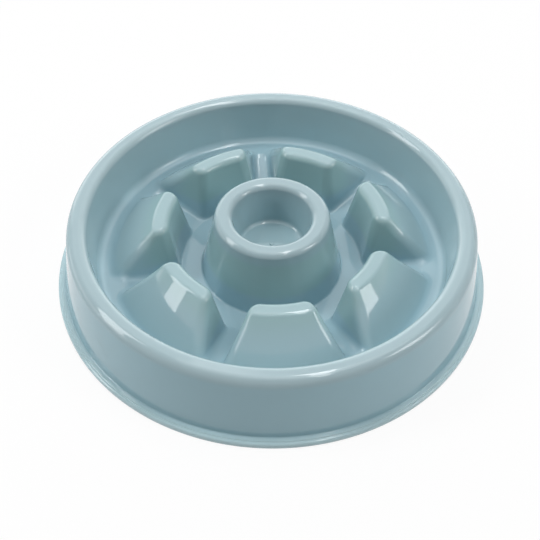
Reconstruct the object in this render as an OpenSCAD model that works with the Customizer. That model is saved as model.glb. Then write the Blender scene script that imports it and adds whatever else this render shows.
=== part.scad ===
/* [Overall size] */
// Diameter over the base flange
flange_d = 280; // [270:1:290]
// Height from the table to the top of the rim
bowl_h = 48; // [46:0.5:50]
// Wall thickness of the moulding
wall_t = 2.2; // [2:0.1:2.4]
// Height of the flange's lower edge above the table
base_gap = 0.8; // [0.5:0.1:1.2]

/* [Rim and skirt] */
// Outer diameter of the skirt where its slope meets the rim's top plane
rim_d = 256; // [254:1:258]
// Inner diameter where the inner wall's slope meets the rim's top plane
mouth_d = 233.2; // [232:0.2:235]
// Rounding of the rim's outer edge
rim_outer_r = 5.6; // [4:0.2:6]
// Rounding of the rim's inner edge
rim_inner_r = 4.2; // [3:0.2:5]
// Diameter where the skirt meets the flange
skirt_foot_d = 270; // [268:1:271]
// Height of the flange's upper face above the table
flange_top = 4.6; // [4:0.1:5]
// Width of the lowered step round the flange's edge
flange_step_w = 2.2; // [1.8:0.1:2.6]
// Drop of that step
flange_step_h = 0.5; // [0.3:0.1:0.8]
// Rounding of the flange's upper edge
flange_r = 1.4; // [0.8:0.1:1.8]

/* [Outer trough] */
// Height of the outer trough's floor above the table
trough_z = 13.6; // [12:0.2:15]
// Diameter of the trough's floor at the inner wall
trough_d = 226.2; // [224:0.2:228]
// Fillet between the trough's floor and the inner wall
trough_r = 5.4; // [3:0.2:6]

/* [Ridges] */
// Number of ridges round the bowl, with as many channels between them
ridge_count = 7; // [6:1:7]
// Height of the ridge tops above the table
ridge_z = 40.4; // [36:0.2:42]
// Diameter of the ridges' outer foot in the trough
ridge_foot_outer_d = 208.4; // [206:0.2:211]
// Diameter where a ridge's outer face meets the plane of its top
ridge_top_outer_d = 150.8; // [148:0.2:156]
// Diameter where a ridge's inner face meets the plane of its top
ridge_top_inner_d = 131.6; // [128:0.2:134]
// Diameter of the ridges' inner foot at the ring floor
ridge_foot_inner_d = 120.4; // [118:0.2:122]
// Rounding of a ridge's top outer edge
ridge_outer_r = 4.2; // [3:0.2:5.6]
// Rounding of a ridge's top inner edge
ridge_inner_r = 4.4; // [3:0.2:4.6]
// Fillet between a ridge's outer face and the trough
ridge_foot_r = 4.2; // [2:0.2:5]

/* [Channels] */
// Width of a channel's floor between two ridges
channel_w = 11.2; // [10:0.2:15]
// Slope of a channel's sides from upright, in degrees
channel_draft = 12; // [10:0.2:17]
// Fillet along the foot of a channel's sides
channel_r = 4.4; // [2:0.2:4.6]

/* [Ring floor and tower] */
// Height of the inner ring floor above the table
ring_z = 3; // [2.8:0.1:3.6]
// Diameter of the tower at its foot
tower_foot_d = 92.4; // [88:0.2:96]
// Diameter where the tower's side meets the plane of its top
tower_top_d = 72; // [69:0.2:76]
// Rounding of the tower's outer edge
tower_outer_r = 4.3; // [3:0.1:4.4]
// Diameter where the well's side meets the plane of the tower's top
well_top_d = 51.6; // [49:0.2:54]
// Rounding of the well's edge
well_r = 4.2; // [3:0.1:4.4]
// Diameter of the well's floor
well_floor_d = 42; // [38:0.2:44]
// Height of the well's floor above the table
well_z = 20.7; // [16:0.1:26]
// Fillet round the well's floor
well_floor_r = 2.8; // [1:0.1:4]
// Fillet along the foot of the tower and of the ridges' inner faces
foot_fillet = 1.4; // [0.6:0.1:2]
// Diameter of the moulding's gate mark in the middle of the well
gate_d = 2.4; // [1.5:0.1:4]
// Height of the gate mark
gate_h = 0.5; // [0.2:0.1:0.8]

/* [Rubber feet] */
// Number of plug-in rubber feet, one under the outer end of each channel
foot_count = 7; // [4:1:7]
// Diameter of the circle on which the feet stand
foot_circle_d = 216; // [214:1:219]
// Diameter of a foot's pad
pad_d = 14; // [12:0.5:16]
// Thickness of a foot's pad, which also sets how far its boss stops above the table
pad_t = 1.8; // [1.5:0.1:2.4]
// Diameter of the dimple under a pad
dimple_d = 7; // [4:0.5:9]
// Depth of the dimple
dimple_h = 0.5; // [0.3:0.1:0.8]
// Diameter of a foot's stem and of the hole that holds it
stem_d = 6; // [5:0.5:7]
// Length of a foot's stem
stem_l = 7; // [5:0.5:7.5]
// Wall of the boss round the stem's hole
boss_wall = 2.4; // [2:0.1:3]
// Space left above the stem in its hole
stem_clear = 1; // [0.5:0.1:1.2]

/* [Hidden] */
shell_colour = [0.62, 0.74, 0.78];
foot_colour = [0.35, 0.38, 0.4];
$fn = 96;
sector = 360 / ridge_count;
front = 270;
// Steps in a quarter turn of any rounded corner
quarter_steps = 5;
// How far a cutting shape runs past what it cuts
past = 5;
// Smallest rounding left where the wall's thickness eats a rounding up
least_r = 0.4;
// A channel's floor climbs from the ring floor to the trough
channel_in = ridge_foot_inner_d / 2;
channel_start = (tower_foot_d + ridge_foot_inner_d) / 4;
channel_out = ridge_foot_outer_d / 2 - ridge_foot_r - 1;
channel_slope = atan((trough_z - ring_z) / (channel_out - channel_in));
channel_run = (channel_out - channel_in) / cos(channel_slope);
channel_end = trough_d / 2 - channel_out - trough_r;
// How far the climbing part leans inwards at its top, so that it is made longer by as much
channel_lean = bowl_h * tan(channel_slope);
boss_d = stem_d + 2 * boss_wall;
boss_top = trough_z - wall_t / 2;

// The corners of the inside surface, from the middle outwards: radius, height, rounding
inside = [
    [0, well_z, 0],
    [well_floor_d / 2, well_z, well_floor_r],
    [well_top_d / 2, bowl_h, well_r],
    [tower_top_d / 2, bowl_h, tower_outer_r],
    [tower_foot_d / 2, ring_z, foot_fillet],
    [ridge_foot_inner_d / 2, ring_z, foot_fillet],
    [ridge_top_inner_d / 2, ridge_z, ridge_inner_r],
    [ridge_top_outer_d / 2, ridge_z, ridge_outer_r],
    [ridge_foot_outer_d / 2, trough_z, ridge_foot_r],
    [trough_d / 2, trough_z, trough_r],
    [mouth_d / 2, bowl_h, rim_inner_r],
    [rim_d / 2, bowl_h, rim_outer_r],
    [skirt_foot_d / 2, flange_top, least_r * 2]
];
tower_foot_at = 4;
ridge_foot_at = 5;
// The flange's upper face, with its lowered step, and its edge
flange = [
    [flange_d / 2 - flange_step_w - 0.2, flange_top, 0],
    [flange_d / 2 - flange_step_w, flange_top - flange_step_h, 0],
    [flange_d / 2, flange_top - flange_step_h, flange_r],
    [flange_d / 2, base_gap, 0]
];
plain_flange = [
    [flange_d / 2, flange_top - flange_step_h, flange_r],
    [flange_d / 2, base_gap, 0]
];

// Helpers for a path of corners
function flat(p) = [p[0], p[1]];
function unit(a, b) = (flat(b) - flat(a)) / norm(flat(b) - flat(a));
function turn_left(d) = [-d[1], d[0]];
function cross2(a, b) = a[0] * b[1] - a[1] * b[0];
// Where the line through p along d meets the line through q along e
function meet(p, d, q, e) = p + d * (cross2(q - p, e) / cross2(d, e));
// One corner as points: an arc that touches both of its sides
function corner(a, b, c) =
    let(d = unit(a, b), e = unit(b, c), bend = atan2(cross2(d, e), d * e))
    b[2] == 0 || abs(bend) < 1 ? [flat(b)] :
    let(
        side = sign(bend),
        reach = b[2] * tan(abs(bend) / 2),
        middle = flat(b) - d * reach + turn_left(d) * (side * b[2]),
        steps = max(2, ceil(quarter_steps * abs(bend) / 90))
    )
    [for (i = [0 : steps])
        let(w = bend * i / steps, out = -turn_left(d) * side * b[2])
        middle + [out[0] * cos(w) - out[1] * sin(w), out[0] * sin(w) + out[1] * cos(w)]];
// A whole path as points, with its ends kept sharp
function rounded(path) = [
    for (i = [0 : len(path) - 1])
        each (i == 0 || i == len(path) - 1 ? [flat(path[i])] : corner(path[i - 1], path[i], path[i + 1]))
];
// The path moved to its right by t, so that it runs t below the surface that it follows
function moved(path, t) = [
    for (i = [0 : len(path) - 1])
        let(
            p = flat(path[i]),
            d = i == 0 ? unit(path[0], path[1]) : unit(path[i - 1], path[i]),
            e = i == len(path) - 1 ? d : unit(path[i], path[i + 1]),
            at = i == 0 || i == len(path) - 1
                ? p - turn_left(d) * t
                : meet(p - turn_left(d) * t, d, p - turn_left(e) * t, e)
        )
        [at[0], at[1], path[i][2] == 0 ? 0 : max(least_r, path[i][2] + sign(cross2(d, e)) * t)]
];
function part_of(path, first, last) = [for (i = [first : last]) path[i]];

// Solids and hollows turned about the bowl's middle
module turned(points) {
    rotate_extrude(convexity = 10) polygon(points);
}

// The moulding before its underside is hollowed: everything below the surface that is seen
module full_body() {
    turned(concat(rounded(concat(inside, flange)), [[0, base_gap]]));
}

// The hollow under the tower, round the well
module tower_hollow() {
    below = moved(concat(inside, plain_flange), wall_t);
    edge = part_of(below, 0, tower_foot_at);
    turned(concat(rounded(edge), [[edge[tower_foot_at][0], -past], [0, -past]]));
}

// The hollow under the ridges, the trough and the rim, as a ring with no channels yet
module ridge_hollow() {
    below = moved(concat(inside, plain_flange), wall_t);
    edge = part_of(below, ridge_foot_at, len(below) - 1);
    turned(concat(
        [[edge[0][0], -past]],
        rounded(edge),
        [[edge[len(edge) - 1][0], -past]]
    ));
}

// A channel's cross-section, grown by t all round: a flat floor and two leaning sides
module channel_section(t) {
    top = 60;
    half = channel_w / 2 + t / cos(channel_draft) - t * tan(channel_draft);
    wide = half + (top + t) * tan(channel_draft);
    path = [[-wide, top, 0], [-half, -t, channel_r + t], [half, -t, channel_r + t], [wide, top, 0]];
    polygon(rounded(path));
}

// One channel along +X: it climbs from the ring floor, then runs level into the trough
module channel(t) {
    intersection() {
        union() {
            translate([channel_in, 0, ring_z])
                rotate([0, -channel_slope, 0])
                    rotate([90, 0, 90])
                        translate([0, 0, -channel_w])
                            linear_extrude(channel_w + channel_run + channel_lean) channel_section(t);
            translate([channel_out, 0, trough_z])
                rotate([90, 0, 90])
                    translate([0, 0, -channel_w])
                        linear_extrude(channel_w + channel_end + past) channel_section(t);
        }
        translate([channel_start, -flange_d / 2, ring_z - t])
            cube([channel_out + channel_end - channel_start, flange_d, bowl_h * 2]);
    }
}

module channels(t) {
    for (k = [0 : ridge_count - 1])
        rotate([0, 0, front + (k + 0.5) * sector]) channel(t);
}

// The place of foot k, counted from 1
module at_foot(k) {
    rotate([0, 0, front + (k - 0.5) * 360 / foot_count])
        translate([foot_circle_d / 2, 0, 0]) children();
}

module boss() {
    translate([0, 0, pad_t]) cylinder(d = boss_d, h = boss_top - pad_t);
}

module stem_hole() {
    translate([0, 0, pad_t - 1]) cylinder(d = stem_d, h = stem_l + stem_clear + 1);
}

// The whole moulding: rim, trough, ridges, tower and well in one wall, with the feet's bosses
module bowl_shell() {
    color(shell_colour)
        difference() {
            union() {
                difference() {
                    full_body();
                    channels(0);
                    tower_hollow();
                    difference() {
                        ridge_hollow();
                        channels(wall_t);
                    }
                }
                for (k = [1 : foot_count]) at_foot(k) boss();
                translate([0, 0, well_z - wall_t / 2]) cylinder(d = gate_d, h = gate_h + wall_t / 2);
            }
            for (k = [1 : foot_count]) at_foot(k) stem_hole();
        }
}

// One rubber foot: a pad with a dimple below and a stem that plugs into the boss
module foot(k) {
    lead = 0.8;
    edge = 0.6;
    profile = [
        [0, dimple_h],
        [dimple_d / 2 - dimple_h, dimple_h],
        [dimple_d / 2, 0],
        [pad_d / 2 - edge, 0],
        [pad_d / 2, edge],
        [pad_d / 2, pad_t],
        [stem_d / 2, pad_t],
        [stem_d / 2, pad_t + stem_l - lead],
        [stem_d / 2 - lead, pad_t + stem_l],
        [0, pad_t + stem_l]
    ];
    color(foot_colour) at_foot(k) turned(profile);
}

bowl_shell();
for (k = [1 : foot_count])
    foot(k);
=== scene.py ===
"""Slow feeder bowl: one glossy moulded shell, seven rubber feet, a pale floor and soft studio light.

Sizes are in millimetres here and are turned into metres where a mesh is made.
"""

import math

import bpy
import numpy as np
from mathutils import Matrix, Vector


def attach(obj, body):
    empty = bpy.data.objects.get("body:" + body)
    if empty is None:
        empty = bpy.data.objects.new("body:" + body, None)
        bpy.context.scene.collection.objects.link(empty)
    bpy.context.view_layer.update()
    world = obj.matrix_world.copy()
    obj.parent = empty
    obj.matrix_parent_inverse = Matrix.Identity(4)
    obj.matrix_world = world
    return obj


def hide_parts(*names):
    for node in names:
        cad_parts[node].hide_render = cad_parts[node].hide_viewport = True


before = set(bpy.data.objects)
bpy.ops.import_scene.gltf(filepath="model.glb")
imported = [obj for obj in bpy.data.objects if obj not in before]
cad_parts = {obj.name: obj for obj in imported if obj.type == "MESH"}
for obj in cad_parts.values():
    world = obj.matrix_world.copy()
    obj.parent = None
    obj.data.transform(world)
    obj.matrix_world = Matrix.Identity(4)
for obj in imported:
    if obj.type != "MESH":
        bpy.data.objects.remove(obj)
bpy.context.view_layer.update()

MM = 0.001

# The moulding's sizes
BOWL_H = 48.0
FLANGE_R = 140.0
BASE_GAP = 0.8
WALL = 2.2
RIDGES = 7
SECTOR = math.tau / RIDGES
FRONT = -math.pi / 2
RING_Z = 3.0
TROUGH_Z = 13.6
RIDGE_Z = 40.4
WELL_Z = 20.7
RIDGE_FOOT_IN, RIDGE_TOP_IN = 60.2, 65.8
RIDGE_FOOT_OUT, RIDGE_TOP_OUT = 104.2, 75.4
CHANNEL_HALF = 5.6
CHANNEL_DRAFT = math.radians(12.0)
CHANNEL_IN, CHANNEL_OUT = 60.2, 99.0

# Roundings of the ridges and channels
RIDGE_IN_ROUND = 4.4
RIDGE_OUT_ROUND = 4.2
RIDGE_END_ROUND = 4.4
RIDGE_NOSE_ROUND = 5.3
RIDGE_EDGE_ROUND = 7.6
RIDGE_INNER_EDGE_ROUND = 5.4
FOOT_FILLET_IN = 1.4
FOOT_FILLET_MOUTH = 2.8
FOOT_FILLET_CHANNEL = 4.4
FOOT_FILLET_OUT = 7.0
RING_CREASE_ROUND = 1.2
TROUGH_CREASE_ROUND = 3.0

# Heights over which the upright edges narrow to the nose, radii over which the foot's fillet grows,
# the way over which one face's rounding goes over to the next, and the most that a wall's upward lean
# counts for at its top and its foot
NOSE_FADE = (RIDGE_Z - 9.0, RIDGE_Z + 1.5)
MOUTH_SPAN, CHANNEL_SPAN, OUTER_SPAN = (59.0, 64.0), (64.0, 84.0), (92.0, 102.0)
FACE_BLEND = (-3.0, 1.0)
STEEPEST_TOP, STEEPEST_FOOT = 0.9, 0.8

# The moulding's gate mark in the well
GATE_R = 1.2
GATE_H = 0.5

# Corners of the middle part, from the gate mark in the well to the ring floor: radius, height, rounding
MIDDLE = [
    (0.3, WELL_Z + GATE_H, 0.0),
    (GATE_R, WELL_Z + GATE_H, 0.25),
    (GATE_R + 0.2, WELL_Z, 0.2),
    (21.0, WELL_Z, 2.8),
    (25.8, BOWL_H, 4.2),
    (36.0, BOWL_H, 4.3),
    (46.2, RING_Z, 1.4),
    (50.0, RING_Z, 0.0),
]

# The end of the flange's underside (radius, height), and a height within its edge
FLANGE_UNDER = (136.6, 2.4)
FLANGE_EDGE_Z = 4.0

# Corners of the outer part, from the trough's floor over the rim and round the flange's edge
OUTER = [
    (107.8, TROUGH_Z, 0.0),
    (113.1, TROUGH_Z, 5.4),
    (116.6, BOWL_H, 4.2),
    (128.0, BOWL_H, 5.6),
    (135.0, 4.6, 0.8),
    (137.5, 4.6, 0.25),
    (137.9, 4.1, 0.25),
    (FLANGE_R, 4.1, 1.4),
    (FLANGE_R, BASE_GAP, 0.4),
    (FLANGE_R - WALL, BASE_GAP, 0.4),
    (FLANGE_R - WALL, FLANGE_UNDER[1], 0.5),
    (*FLANGE_UNDER, 0.0),
]

# Rows across the ridges, as stretches of radius: start, end and number of steps
RIDGE_ROWS = [
    (51.5, 58.2, 3),
    (58.2, 60.6, 8),
    (60.6, 65.4, 19),
    (65.4, 68.8, 11),
    (68.8, 74.2, 6),
    (74.2, 78.8, 9),
    (78.8, 101.6, 18),
    (101.6, 106.2, 9),
    (106.2, 107.6, 2),
]

# Columns away from a channel's middle line, as stretches of sideways distance
CHANNEL_COLUMNS = [(0.0, 1.6, 1), (1.6, 7.6, 10), (7.6, 15.6, 12), (15.6, 18.6, 4)]
MIDDLE_COLUMNS = 7

# Radii over which the columns leave even angles, those over which they come back to them, and the
# least radius that the sideways distances are turned into angles at
COLUMNS_GATHER, COLUMNS_SPREAD = (51.5, 58.0), (102.0, 107.6)
NARROWEST_R = 57.0

# The feet
FOOT_CIRCLE_R = 108.0
PAD_R, PAD_T = 7.0, 1.8
DIMPLE_R, DIMPLE_H = 3.5, 0.5
STEM_R, STEM_L = 3.0, 7.0
STEM_LEAD = 0.8
BOSS_R, BOSS_TOP = 5.4, 12.5
HOLE_CLEAR = 1.0

# The plastic's colour drifts between these two
PLASTIC_DARK = (0.327, 0.474, 0.518)
PLASTIC_LIGHT = (0.352, 0.499, 0.543)

# Painted light and shade on the plastic, multiplied into its colour where the lamps fall short: bluer
# floors, a lighter inner wall, greener ridges and tower, warmer paler tops, a bluer skirt and a much
# paler flange. Each is a colour, spans of radius and spans of height. A tint comes in over each of its
# spans, outwards or upwards where the second value is the larger, and else inwards or downwards.
PAINTED_LIGHT_TINTS = {
    "floors": ((0.96, 1.0, 1.04), [(122.0, 118.0)], [(19.0, 13.0)]),
    "inner wall": ((1.13, 1.11, 1.1), [(107.0, 111.0), (122.0, 118.0)], []),
    "ridges and tower": ((0.97, 1.02, 0.965), [(30.0, 34.0), (88.0, 74.0)], [(14.0, 20.0), (42.0, 38.0)]),
    "tops": ((1.035, 0.985, 0.98), [], [(40.0, 46.0)]),
    "skirt": ((0.89, 0.985, 1.025), [(122.0, 127.0)], [(47.0, 41.0)]),
    "flange": ((1.44, 1.26, 1.19), [(134.6, 136.6)], [(6.5, 4.8)]),
}

# The camera: place in metres and angles in degrees
CAMERA_PLACE = (0, -0.391986, 0.431256)
CAMERA_PITCH, CAMERA_YAW, CAMERA_ROLL = 48.0423, -0.1369, 0.7076
CAMERA_TURN = -5.4
CAMERA_LENS, CAMERA_SENSOR = 58.0, 36.0

# The lamps: the two directions (azimuth, elevation) at the ends of the lamp's middle line, its breadth
# in degrees and its brightness
LAMPS = {
    "left softbox": ((187, 21), (141, 60), 13, 5.8),
    "left softbox's end": ((208, 32), (190, 22), 12, 0.4),
    "right softbox": ((345, 20), (332, 44), 18, 5.9),
    "overhead strip": ((77, 61), (0, 79), 4.5, 9),
    "overhead strip's end": ((350, 80), (300, 60), 4.5, 5),
    "ceiling": ((60, 60), (240, 79), 40, 1.85),
    "back panel": ((90, 30), (90, 60), 60, 0.78),
    "low back panel": ((90, 3), (90, 28), 80, 1.85),
    "low left panel": ((170, 3), (170, 18), 50, 1.5),
    "low right panel": ((350, 3), (350, 20), 60, 0.25),
}
LAMP_DISTANCE = 3.0
WORLD_BACK, WORLD_FRONT = 0.07, 0.06

# The floor's reach, and the share of it that shows as plain white
FLOOR_REACH = 3.0
FLOOR_WHITE = 0.92


# Lines of corners and their rows


def unit(v):
    """The vector v at length 1."""
    return v / np.linalg.norm(v)


def rounded_rows(corners, turn=math.radians(13), spacing=12.0):
    """Rows along a line of corners (radius, height, rounding): each corner is the arc that touches both
    of its sides, in steps of at most turn, and long straight stretches get a row every spacing.
    Each row is radius, height and the two parts of the normal, which is the direction of travel turned
    a quarter to the left."""
    points = np.array([c[:2] for c in corners])
    rows = []

    def add(point, along):
        """One row at a point, where the line travels along."""
        rows.append((point[0], point[1], -along[1], along[0]))

    def straight(start, end):
        """The rows within a straight stretch."""
        along = unit(end - start)
        for share in np.linspace(0, 1, 2 + int(np.linalg.norm(end - start) // spacing))[1:-1]:
            add(start + (end - start) * share, along)

    last = points[0]
    add(last, unit(points[1] - last))
    for i in range(1, len(corners) - 1):
        rounding = corners[i][2]
        d, e = unit(points[i] - points[i - 1]), unit(points[i + 1] - points[i])
        bend = math.atan2(d[0] * e[1] - d[1] * e[0], d @ e)
        side = math.copysign(1, bend)
        reach = rounding * math.tan(abs(bend) / 2)
        middle = points[i] - d * reach + np.array([-d[1], d[0]]) * side * rounding
        straight(last, points[i] - d * reach)
        steps = max(3, math.ceil(abs(bend) / turn))
        for k in range(steps + 1):
            w = bend * k / steps
            c, s = math.cos(w), math.sin(w)
            along = np.array([d[0] * c - d[1] * s, d[0] * s + d[1] * c])
            add(middle - np.array([-along[1], along[0]]) * side * rounding, along)
        last = points[i] + e * reach
    straight(last, points[-1])
    add(points[-1], unit(points[-1] - last))
    return np.array(rows)


def stretches(parts):
    """Values that run through stretches (start, end, steps), each cut into equal steps."""
    return np.concatenate(
        [np.linspace(start, end, steps, endpoint=False) for start, end, steps in parts]
        + [[parts[-1][1]]]
    )


# The ridges and channels, as distances from their faces


def round_max(a, b, radius, cosine):
    """The larger of two distances, with the edge between the two faces rounded: where both are near
    the edge, it is the distance from the arc of that radius which touches both faces. cosine is that
    of the angle between the faces' normals."""
    p, q = a + radius, b + radius
    inside = (q > p * cosine) & (p > q * cosine)
    arc = np.sqrt(np.maximum(p * p + q * q - 2 * p * q * cosine, 0) / (1 - cosine**2)) - radius
    return np.where(inside, arc, np.maximum(a, b))


def round_min(a, b, radius, cosine):
    """The smaller of two distances, with the inner corner between the two faces filled by a fillet."""
    return -round_max(-a, -b, radius, cosine)


def smooth_step(x, low, high):
    """0 below low, 1 above high, and 3s^2 - 2s^3 between."""
    s = np.clip((x - low) / (high - low), 0, 1)
    return s * s * (3 - 2 * s)


def face_distances(radius, z):
    """Distances outside a ridge's inner and outer faces, which lean towards its top."""
    inner = unit(np.array([RIDGE_TOP_IN - RIDGE_FOOT_IN, RIDGE_Z - RING_Z]))
    outer = unit(np.array([RIDGE_FOOT_OUT - RIDGE_TOP_OUT, TROUGH_Z - RIDGE_Z]))
    to_inner = (z - RING_Z) * inner[0] - (radius - RIDGE_FOOT_IN) * inner[1]
    to_outer = (z - RIDGE_Z) * outer[0] - (radius - RIDGE_TOP_OUT) * outer[1]
    return to_inner, to_outer, inner[0], outer[0]


def floor_distance(radius, z):
    """Distance above the floor that a channel leads over: level in the ring, climbing, level again."""
    slope = math.atan2(TROUGH_Z - RING_Z, CHANNEL_OUT - CHANNEL_IN)
    climb = (z - RING_Z) * math.cos(slope) - (radius - CHANNEL_IN) * math.sin(slope)
    upper = round_max(climb, z - TROUGH_Z, TROUGH_CREASE_ROUND, math.cos(slope))
    return round_min(z - RING_Z, upper, RING_CREASE_ROUND, math.cos(slope))


def wall_distance(along, aside, z):
    """Distance outside a ridge's four walls: its inner and outer faces and its leaning ends, joined by
    upright edges whose rounding grows from the narrow nose at the top to the foot."""
    radius = np.hypot(along, aside)
    slope = math.atan2(TROUGH_Z - RING_Z, CHANNEL_OUT - CHANNEL_IN)
    floor = RING_Z + (along - CHANNEL_IN) * math.tan(slope)
    height = np.where(along > CHANNEL_OUT, z - TROUGH_Z, (z - floor) * math.cos(slope))
    to_end = (CHANNEL_HALF + height * math.tan(CHANNEL_DRAFT) - aside) * math.cos(CHANNEL_DRAFT)
    to_inner, to_outer, inner_up, outer_up = face_distances(radius, z)
    outwards = to_outer > to_inner
    lower = 1 - smooth_step(z, *NOSE_FADE)
    edge = np.where(outwards, RIDGE_EDGE_ROUND, RIDGE_INNER_EDGE_ROUND)
    rounding = RIDGE_NOSE_ROUND + (edge - RIDGE_NOSE_ROUND) * lower
    cosine = math.sin(CHANNEL_DRAFT) * np.where(outwards, outer_up, inner_up)
    wall = round_max(np.maximum(to_inner, to_outer), to_end, rounding, cosine)
    return wall, to_outer, to_inner, to_end


def bowl_distance(along, aside, z):
    """Distance above the moulding near a channel. along is measured outwards on the channel's middle
    line and aside across it. A ridge is its walls under a level top, with a rounded edge, and the
    floor joins it with a fillet that grows outwards."""
    radius = np.hypot(along, aside)
    step = 0.02
    wall, to_outer, to_inner, to_end = wall_distance(along, aside, z)
    wall_up = (wall_distance(along, aside, z + step)[0] - wall) / step
    outwards = smooth_step(to_outer - np.maximum(to_inner, to_end), *FACE_BLEND)
    inwards = smooth_step(to_inner - np.maximum(to_outer, to_end), *FACE_BLEND)
    rounding = (
        RIDGE_END_ROUND
        + (RIDGE_OUT_ROUND - RIDGE_END_ROUND) * outwards
        + (RIDGE_IN_ROUND - RIDGE_END_ROUND) * inwards
    )
    ridge = round_max(wall, z - RIDGE_Z, rounding, np.clip(wall_up, 0, STEEPEST_TOP))
    fillet = (
        FOOT_FILLET_IN
        + (FOOT_FILLET_MOUTH - FOOT_FILLET_IN) * smooth_step(radius, *MOUTH_SPAN)
        + (FOOT_FILLET_CHANNEL - FOOT_FILLET_MOUTH) * smooth_step(radius, *CHANNEL_SPAN)
        + (FOOT_FILLET_OUT - FOOT_FILLET_CHANNEL) * smooth_step(radius, *OUTER_SPAN)
    )
    return round_min(floor_distance(radius, z), ridge, fillet, np.clip(wall_up, 0, STEEPEST_FOOT))


def height_over(along, aside):
    """The height at which bowl_distance is nought, found by halving the span 30 times."""
    low, high = np.full(along.shape, RING_Z - 2.0), np.full(along.shape, RIDGE_Z + 1.0)
    for _ in range(30):
        middle = (low + high) / 2
        above = bowl_distance(along, aside, middle) > 0
        low, high = np.where(above, low, middle), np.where(above, middle, high)
    return (low + high) / 2


def normal_at(along, aside, z):
    """The direction in which bowl_distance grows, from differences over a short way."""
    step = 0.03
    parts = [
        bowl_distance(along + step, aside, z) - bowl_distance(along - step, aside, z),
        bowl_distance(along, aside + step, z) - bowl_distance(along, aside - step, z),
        bowl_distance(along, aside, z + step) - bowl_distance(along, aside, z - step),
    ]
    normal = np.stack(parts, -1)
    return normal / np.linalg.norm(normal, axis=-1, keepdims=True)


# The shell


def ring_zone(radii, angles):
    """The rows radii of the ridge zone round the whole bowl. angles[row, column] is the angle from the
    nearest channel's middle line, over half a sector. The half is mirrored and repeated round."""
    r = radii[:, None]
    along, aside = r * np.cos(angles), r * np.sin(angles)
    z = height_over(along, aside)
    n = normal_at(along, aside, z)
    half = angles.shape[1] - 1
    column = np.arange(-half, half)
    pick, side = np.abs(column), np.sign(column)
    n_along, n_aside, n_up = n[:, pick, 0], n[:, pick, 1] * side, n[:, pick, 2]
    n_aside[:, pick == 0] = 0
    points, normals = [], []
    for k in range(RIDGES):
        turn = FRONT + (k + 0.5) * SECTOR
        a = turn + angles[:, pick] * side
        c, s = math.cos(turn), math.sin(turn)
        points.append(np.stack([r * np.cos(a), r * np.sin(a), z[:, pick]], -1))
        normals.append(np.stack([n_along * c - n_aside * s, n_along * s + n_aside * c, n_up], -1))
    return np.concatenate(points, 1), np.concatenate(normals, 1)


def turned_zone(rows, angles):
    """Rows (radius, height, normal) turned round the bowl's middle, one column for each angle."""
    c, s = np.cos(angles)[None, :], np.sin(angles)[None, :]
    one = np.ones_like(c)
    r, z, nr, nz = (rows[:, i, None] for i in range(4))
    return np.stack([r * c, r * s, z * one], -1), np.stack([nr * c, nr * s, nz * one], -1)


def grid_faces(first, second):
    """Four-cornered faces between two closed rings of points with the same number of columns."""
    a, b = np.roll(first, -1, -1), np.roll(second, -1, -1)
    return np.stack([first, second, b, a], -1).reshape(-1, 4)


def fan_faces(fine, coarse, fine_inside):
    """Three triangles for each two steps of a fine ring and one step of a coarse ring beside it."""
    f0, f1, f2 = fine[0::2], fine[1::2], np.roll(fine, -2)[0::2]
    c0, c1 = coarse, np.roll(coarse, -1)
    three = np.concatenate([np.stack(t, -1) for t in ((f0, c0, f1), (f1, c0, c1), (f1, c1, f2))])
    return three if fine_inside else three[:, ::-1]


def pole_faces(ring, pole, pole_first):
    """Triangles from a ring of points to the point on the middle line that it closes on."""
    tip, after = np.full(len(ring), pole), np.roll(ring, -1)
    return np.stack([tip, ring, after] if pole_first else [ring, tip, after], -1)


def mesh_piece(name, points, faces, normals=None):
    """An object from points in millimetres and lists of faces, shaded smooth."""
    mesh = bpy.data.meshes.new(name)
    loops = np.concatenate([f.ravel() for f in faces]).astype(np.int32)
    sizes = np.concatenate([np.full(len(f), f.shape[1]) for f in faces]).astype(np.int32)
    mesh.vertices.add(len(points))
    mesh.vertices.foreach_set("co", (points * MM).astype(np.float32).ravel())
    mesh.loops.add(len(loops))
    mesh.loops.foreach_set("vertex_index", loops)
    mesh.polygons.add(len(sizes))
    mesh.polygons.foreach_set("loop_start", np.concatenate([[0], np.cumsum(sizes)[:-1]]).astype(np.int32))
    mesh.polygons.foreach_set("use_smooth", np.ones(len(sizes), bool))
    mesh.update(calc_edges=True)
    mesh.validate()
    if normals is not None:
        mesh.normals_split_custom_set_from_vertices(normals)
    piece = bpy.data.objects.new(name, mesh)
    bpy.context.scene.collection.objects.link(piece)
    return piece


def turned_solid(corners, x, y, columns=32, turn=math.radians(30)):
    """A closed solid turned about the upright line through (x, y). Its corners run from the middle of
    its top outwards, down and back to the middle below."""
    rows = rounded_rows(corners, turn, 3.0)[1:-1]
    angles = np.linspace(0, math.tau, columns, endpoint=False)
    points, normals = turned_zone(rows, angles)
    index = np.arange(points[..., 0].size).reshape(points.shape[:2])
    top, bottom = index.size, index.size + 1
    poles = np.array([[0, 0, corners[0][1]], [0, 0, corners[-1][1]]])
    upright = np.array([[0, 0, 1], [0, 0, -1]])
    faces = [
        grid_faces(index[:-1], index[1:]),
        pole_faces(index[0], top, True),
        pole_faces(index[-1], bottom, False),
    ]
    points = np.concatenate([points.reshape(-1, 3), poles]) + np.array([x, y, 0])
    return points, faces, np.concatenate([normals.reshape(-1, 3), upright])


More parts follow.
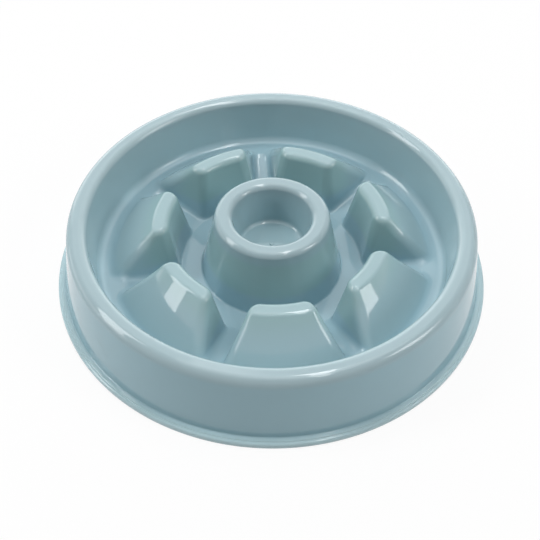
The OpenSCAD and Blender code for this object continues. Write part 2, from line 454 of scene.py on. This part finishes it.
def column_angles(radii):
    """Angles from a channel's middle line over half a sector, for each row. Near the channel a column
    keeps its sideways distance t, so its angle is asin(t / radius). The rest is shared out evenly, and
    the first and last rows go over to even angles throughout."""
    aside = stretches(CHANNEL_COLUMNS)
    count = len(aside) - 1 + MIDDLE_COLUMNS
    near = np.arcsin(aside[None, :] / np.maximum(radii, NARROWEST_R)[:, None])
    share = np.linspace(0, 1, MIDDLE_COLUMNS + 1)[None, 1:]
    far = near[:, -1:] + (SECTOR / 2 - near[:, -1:]) * share
    even = np.linspace(0, SECTOR / 2, count + 1)[None, :]
    weight = smooth_step(radii, *COLUMNS_GATHER) * (1 - smooth_step(radii, *COLUMNS_SPREAD))
    return even + (np.concatenate([near, far], 1) - even) * weight[:, None]


def shell_mesh():
    """The shell as one closed surface. The upper side runs from the gate mark over the tower, the
    ridges and the rim to the flange's edge, and the underside runs back a wall's thickness below it,
    with every second row and column."""
    radii = stretches(RIDGE_ROWS)
    angles = column_angles(radii)
    half = angles.shape[1] - 1
    steps = np.arange(-half, half, 2) / half * SECTOR / 2
    around = (FRONT + (np.arange(RIDGES)[:, None] + 0.5) * SECTOR + steps).ravel()
    middle_rows, outer_rows = rounded_rows(MIDDLE), rounded_rows(OUTER)
    middle, outer = turned_zone(middle_rows, around), turned_zone(outer_rows, around)
    ridges = ring_zone(radii, angles)

    def below(zone, keep):
        """The kept rows of a zone, a wall's thickness below it and in the other order."""
        points, normals = zone[0][keep][::-2], zone[1][keep][::-2]
        return points - normals * WALL, -normals

    flange_top = np.flatnonzero(outer_rows[:, 0] < FLANGE_UNDER[0] - 0.2)
    past_flange = np.flatnonzero(outer_rows[:, 1] < FLANGE_EDGE_Z)[0]
    flange_top = flange_top[flange_top < past_flange]
    past_gate = np.flatnonzero(middle_rows[:, 0] > 2 * GATE_R)
    coarse = (ridges[0][:, ::2], ridges[1][:, ::2])
    under = [below(outer, flange_top), below(coarse, slice(None)), below(middle, past_gate)]
    zones = [middle, ridges, outer, *under]

    index, start = [], 0
    for points, _ in zones:
        size = points.shape[0] * points.shape[1]
        index.append(np.arange(start, start + size).reshape(points.shape[:2]))
        start += size
    back = np.concatenate([index[2], *index[3:]])
    faces = [
        grid_faces(index[0][:-1], index[0][1:]),
        fan_faces(index[1][0], index[0][-1], False),
        grid_faces(index[1][:-1], index[1][1:]),
        fan_faces(index[1][-1], index[2][0], True),
        grid_faces(back[:-1], back[1:]),
        pole_faces(index[0][0], start, True),
        pole_faces(back[-1], start + 1, False),
    ]
    poles = np.array([[0, 0, WELL_Z + GATE_H], [0, 0, WELL_Z - WALL]])
    points = np.concatenate([z[0].reshape(-1, 3) for z in zones] + [poles])
    normals = np.concatenate([z[1].reshape(-1, 3) for z in zones] + [[[0, 0, 1], [0, 0, -1]]])
    return points, faces, normals


def foot_place(k):
    """The middle of foot k, under the outer end of its channel."""
    a = FRONT + (k - 0.5) * SECTOR
    return FOOT_CIRCLE_R * math.cos(a), FOOT_CIRCLE_R * math.sin(a)


def boss_mesh(k):
    """One boss under the trough, with the blind hole that holds a foot's stem."""
    hole = PAD_T + STEM_L + HOLE_CLEAR
    corners = [
        (0, BOSS_TOP, 0),
        (BOSS_R, BOSS_TOP, 0.2),
        (BOSS_R, PAD_T, 0.3),
        (STEM_R, PAD_T, 0.2),
        (STEM_R, hole, 0.3),
        (0, hole, 0),
    ]
    return turned_solid(corners, *foot_place(k))


def foot_mesh(k):
    """One rubber foot: a stem with a bevelled end over a pad with a dimple."""
    top = PAD_T + STEM_L
    corners = [
        (0, top, 0),
        (STEM_R - STEM_LEAD, top, 0.3),
        (STEM_R, top - STEM_LEAD, 0.3),
        (STEM_R, PAD_T, 0.2),
        (PAD_R, PAD_T, 0.25),
        (PAD_R, 0, 0.7),
        (DIMPLE_R, 0, 0.2),
        (DIMPLE_R - DIMPLE_H, DIMPLE_H, 0.2),
        (0, DIMPLE_H, 0),
    ]
    return turned_solid(corners, *foot_place(k))


def joined(parts):
    """Several closed meshes as one."""
    points, faces, normals, start = [], [], [], 0
    for p, f, n in parts:
        points.append(p)
        faces += [one + start for one in f]
        normals.append(n)
        start += len(p)
    return np.concatenate(points), faces, np.concatenate(normals)


# Materials


def new_material(name):
    """A material with nothing in it but its output."""
    material = bpy.data.materials.new(name)
    material.use_nodes = True
    tree = material.node_tree
    tree.nodes.clear()
    output = tree.nodes.new("ShaderNodeOutputMaterial")
    return material, tree, output


def node(tree, kind, inputs=(), **settings):
    """A node with its settings and its inputs, each a plain value or another node's output."""
    made = tree.nodes.new(kind)
    for key, value in settings.items():
        setattr(made, key, value)
    for key, value in dict(inputs).items():
        if isinstance(value, bpy.types.NodeSocket):
            tree.links.new(value, made.inputs[key])
        else:
            made.inputs[key].default_value = value
    return made


def gloss_plastic():
    """The moulding's grey-blue plastic: glossy, with a faint drift of colour. Painted light and shade are
    multiplied in on top:
    it is a little bluer on the floors, lighter on the bowl's inner wall, greener on the steep faces and
    paler at the tops and on the thin flange, as painted light and painted shade rather than the plastic's
    own colour."""
    material, tree, output = new_material("glossy grey-blue plastic")
    place = node(tree, "ShaderNodeTexCoord").outputs["Object"]
    drift = node(tree, "ShaderNodeTexNoise", {"Vector": place, "Scale": 9.0, "Detail": 2.0})
    colour = node(
        tree,
        "ShaderNodeMix",
        {"Factor": drift.outputs["Fac"], "A": (*PLASTIC_DARK, 1), "B": (*PLASTIC_LIGHT, 1)},
        data_type="RGBA",
    ).outputs["Result"]
    height = node(tree, "ShaderNodeSeparateXYZ", {"Vector": place}).outputs["Z"]
    flat = node(tree, "ShaderNodeVectorMath", {0: place, 1: (1, 1, 0)}, operation="MULTIPLY").outputs[0]
    radius = node(tree, "ShaderNodeVectorMath", {0: flat}, operation="LENGTH").outputs["Value"]

    def coming_in(value, start, end):
        """0 where value is at start, 1 where it is at end, and smooth between."""
        return node(
            tree,
            "ShaderNodeMapRange",
            {"Value": value, "From Min": start * MM, "From Max": end * MM, "To Min": 0.0, "To Max": 1.0},
            interpolation_type="SMOOTHSTEP",
        ).outputs["Result"]

    # Painted light and shade: each tint multiplies the colour where all its spans meet
    for tint, radii, heights in PAINTED_LIGHT_TINTS.values():
        parts = [coming_in(radius, *span) for span in radii]
        parts += [coming_in(height, *span) for span in heights]
        share = parts[0]
        for part in parts[1:]:
            share = node(tree, "ShaderNodeMath", {0: share, 1: part}, operation="MULTIPLY").outputs[0]
        colour = node(
            tree,
            "ShaderNodeMix",
            {"Factor": share, "A": colour, "B": (*tint, 1)},
            data_type="RGBA",
            blend_type="MULTIPLY",
        ).outputs["Result"]
    shader = node(
        tree, "ShaderNodeBsdfPrincipled", {"Base Color": colour, "Roughness": 0.055, "IOR": 1.5}
    )
    tree.links.new(shader.outputs["BSDF"], output.inputs["Surface"])
    return material


def foot_rubber():
    """The feet's dull grey rubber."""
    material, tree, output = new_material("grey rubber")
    place = node(tree, "ShaderNodeTexCoord").outputs["Object"]
    grain = node(tree, "ShaderNodeTexNoise", {"Vector": place, "Scale": 900.0, "Detail": 3.0})
    bump = node(
        tree, "ShaderNodeBump", {"Height": grain.outputs["Fac"], "Strength": 0.25, "Distance": 0.0004}
    )
    tint = node(
        tree,
        "ShaderNodeMix",
        {"Factor": grain.outputs["Fac"], "A": (0.09, 0.1, 0.11, 1), "B": (0.14, 0.15, 0.16, 1)},
        data_type="RGBA",
    )
    shader = node(
        tree,
        "ShaderNodeBsdfPrincipled",
        {"Base Color": tint.outputs["Result"], "Roughness": 0.75, "Normal": bump.outputs["Normal"]},
    )
    tree.links.new(shader.outputs["BSDF"], output.inputs["Surface"])
    return material


def backdrop_rays(tree):
    """1 for a camera, glossy or transmission ray, which see a plain white backdrop, and 0 for others."""
    path = node(tree, "ShaderNodeLightPath").outputs
    shiny = node(
        tree,
        "ShaderNodeMath",
        {0: path["Is Glossy Ray"], 1: path["Is Transmission Ray"]},
        operation="MAXIMUM",
    )
    return node(
        tree, "ShaderNodeMath", {0: path["Is Camera Ray"], 1: shiny.outputs[0]}, operation="MAXIMUM"
    ).outputs[0]


def floor_white():
    """The studio floor: white to the camera and in reflections, with a part of its true shading left so
    that the bowl's shadow stays."""
    material, tree, output = new_material("white floor")
    share = node(tree, "ShaderNodeMath", {0: backdrop_rays(tree), 1: FLOOR_WHITE}, operation="MULTIPLY")
    plain = node(tree, "ShaderNodeBsdfDiffuse", {"Color": (0.9, 0.9, 0.9, 1)})
    glow = node(tree, "ShaderNodeEmission", {"Color": (1, 1, 1, 1), "Strength": 1.0})
    mixed = node(
        tree, "ShaderNodeMixShader", {0: share.outputs[0], 1: plain.outputs[0], 2: glow.outputs[0]}
    )
    tree.links.new(mixed.outputs[0], output.inputs["Surface"])
    return material


# The pieces

plastic = gloss_plastic()
rubber = foot_rubber()

bowl = mesh_piece("bowl", *joined([shell_mesh()] + [boss_mesh(k) for k in range(1, RIDGES + 1)]))
bowl.data.materials.append(plastic)
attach(bowl, "root")
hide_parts("bowl_shell")

for k in range(1, RIDGES + 1):
    foot = mesh_piece(f"rubber_foot_{k}", *foot_mesh(k))
    foot.data.materials.append(rubber)
    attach(foot, "root")
    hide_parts(f"foot_{k}")


# The floor, the camera and the lights


def studio_floor():
    """A wide flat floor at the feet's undersides."""
    mesh = bpy.data.meshes.new("studio floor")
    reach = FLOOR_REACH
    corners = [(-reach, -reach, 0), (reach, -reach, 0), (reach, reach, 0), (-reach, reach, 0)]
    mesh.from_pydata(corners, [], [(0, 1, 2, 3)])
    mesh.materials.append(floor_white())
    floor = bpy.data.objects.new("studio_floor", mesh)
    bpy.context.scene.collection.objects.link(floor)


def photo_camera():
    """The camera: a 58 mm lens about 0.58 m from the bowl, 48 degrees above the horizon."""
    camera = bpy.data.cameras.new("camera")
    camera.lens = CAMERA_LENS
    camera.sensor_width = CAMERA_SENSOR
    camera.clip_start = 0.01
    pitch, yaw, roll = (math.radians(a) for a in (CAMERA_PITCH, CAMERA_YAW, CAMERA_ROLL))
    turn = Matrix.Rotation(math.radians(CAMERA_TURN), 3, "Z")
    ahead = Vector((math.sin(yaw) * math.cos(pitch), math.cos(yaw) * math.cos(pitch), -math.sin(pitch)))
    level = Vector((math.cos(yaw), -math.sin(yaw), 0))
    upward = level.cross(ahead)
    right = level * math.cos(roll) + upward * math.sin(roll)
    up = upward * math.cos(roll) - level * math.sin(roll)
    axes = Matrix((turn @ right, turn @ up, turn @ -ahead)).transposed()
    place = turn @ Vector(CAMERA_PLACE)
    holder = bpy.data.objects.new("camera", camera)
    holder.matrix_world = Matrix.Translation(place) @ axes.to_4x4()
    bpy.context.scene.collection.objects.link(holder)
    bpy.context.scene.camera = holder


def towards(azimuth, elevation):
    """The direction at an azimuth (degrees round from +X) and an elevation above the table."""
    a, e = math.radians(azimuth), math.radians(elevation)
    return Vector((math.cos(a) * math.cos(e), math.sin(a) * math.cos(e), math.sin(e)))


def soft_light(name, first, last, breadth, brightness):
    """A rectangular lamp that faces the bowl. Its middle line runs between two directions (azimuth,
    elevation), it looks breadth degrees wide, and its power is brightness times area times pi."""
    start, end = towards(*first) * LAMP_DISTANCE, towards(*last) * LAMP_DISTANCE
    place, length = (start + end) / 2, (end - start).length
    lamp = bpy.data.lights.new(name, "AREA")
    lamp.shape = "RECTANGLE"
    lamp.size = 2 * place.length * math.tan(math.radians(breadth) / 2)
    lamp.size_y = length
    lamp.energy = brightness * lamp.size * length * math.pi
    along, back = (end - start).normalized(), place.normalized()
    axes = Matrix((along.cross(back), along, back)).transposed()
    holder = bpy.data.objects.new(name, lamp)
    holder.matrix_world = Matrix.Translation(place) @ axes.to_4x4()
    holder.visible_camera = False
    bpy.context.scene.collection.objects.link(holder)


def studio_world():
    """A white backdrop for the camera and for reflections. The light it gives is soft: brighter from
    the back of the studio, where the wall is, than from the front."""
    world = bpy.data.worlds.new("studio")
    world.use_nodes = True
    tree = world.node_tree
    tree.nodes.clear()
    output = tree.nodes.new("ShaderNodeOutputWorld")
    direction = node(tree, "ShaderNodeTexCoord").outputs["Generated"]
    parts = node(tree, "ShaderNodeSeparateXYZ", {"Vector": direction})
    level = node(
        tree,
        "ShaderNodeMapRange",
        {
            "Value": parts.outputs["Y"],
            "From Min": -0.5,
            "From Max": 0.5,
            "To Min": WORLD_FRONT,
            "To Max": WORLD_BACK,
        },
        interpolation_type="SMOOTHSTEP",
    )
    strength = node(
        tree,
        "ShaderNodeMix",
        {"Factor": backdrop_rays(tree), "A": level.outputs["Result"], "B": 1.0},
        data_type="FLOAT",
    )
    glow = node(
        tree, "ShaderNodeBackground", {"Color": (1, 1, 1, 1), "Strength": strength.outputs["Result"]}
    )
    tree.links.new(glow.outputs[0], output.inputs["Surface"])
    bpy.context.scene.world = world


studio_floor()
photo_camera()
studio_world()
for name, lamp in LAMPS.items():
    soft_light(name, *lamp)
bpy.context.scene.view_settings.view_transform = "Standard"
